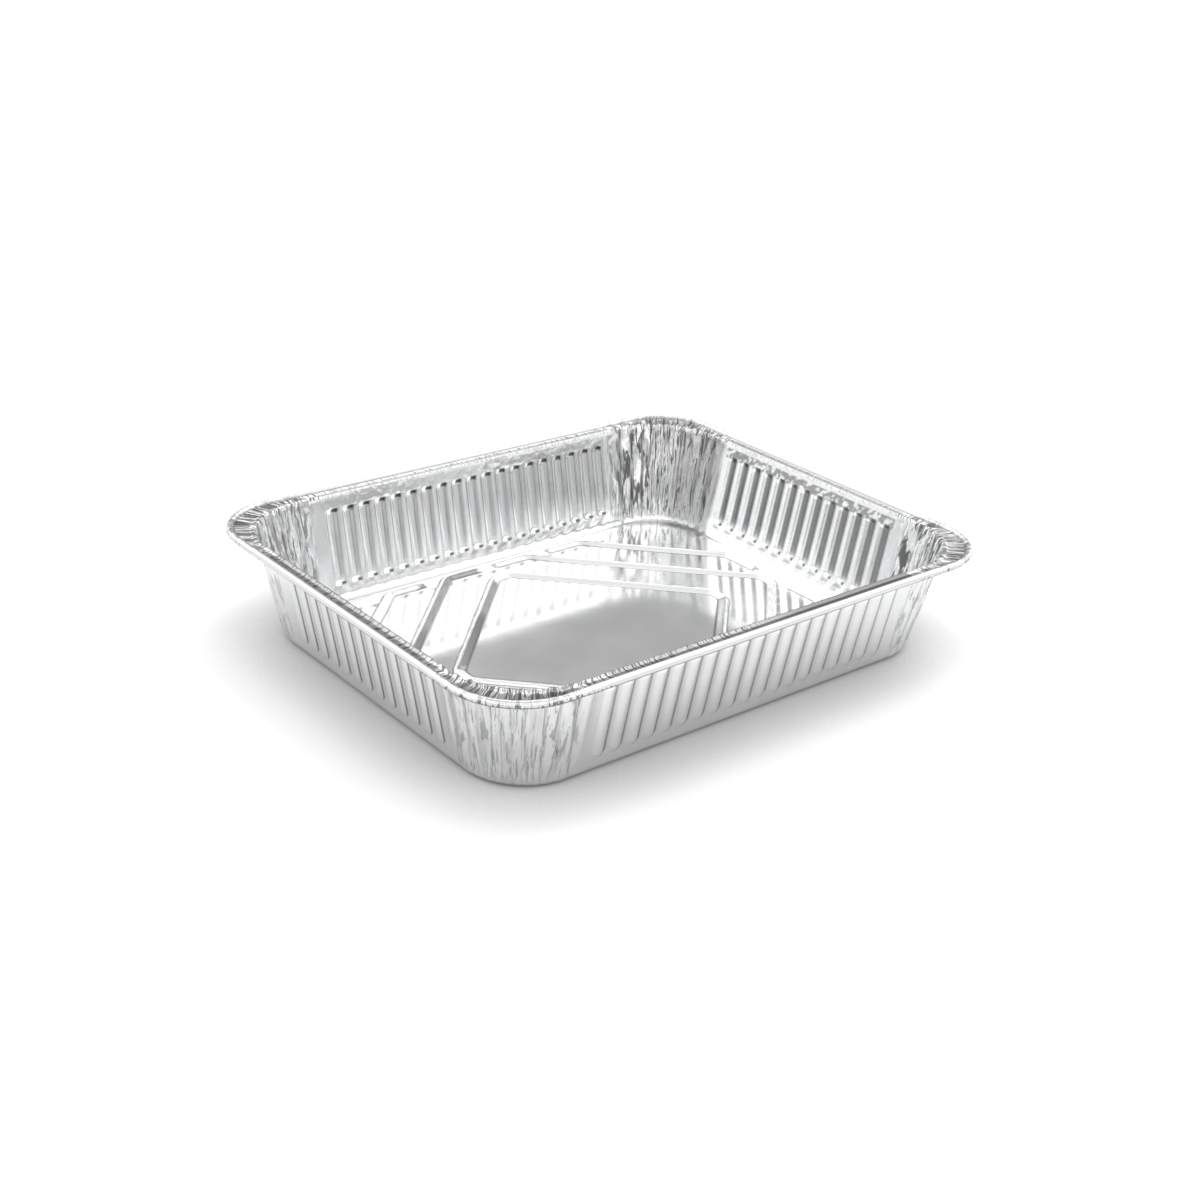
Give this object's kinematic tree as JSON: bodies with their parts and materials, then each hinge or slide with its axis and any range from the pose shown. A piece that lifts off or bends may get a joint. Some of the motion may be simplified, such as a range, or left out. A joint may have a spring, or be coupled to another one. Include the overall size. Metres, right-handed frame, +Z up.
{
  "type": "foil roasting pan",
  "caption": "Rectangular pressed foil roasting pan with fluted sloping walls, gathered corners, a rolled rim and raised floor beads.",
  "frame": {"origin": "middle of the pan's footprint, on the table", "axes": "+X along the long side, +Y along the short side, +Z up out of the pan"},
  "size_m": [0.324, 0.2636, 0.0595],
  "materials": {
    "foil": "bright pressed foil"
  },
  "bodies": {
    "root": {"pan": "foil"}
  },
  "joints": []
}
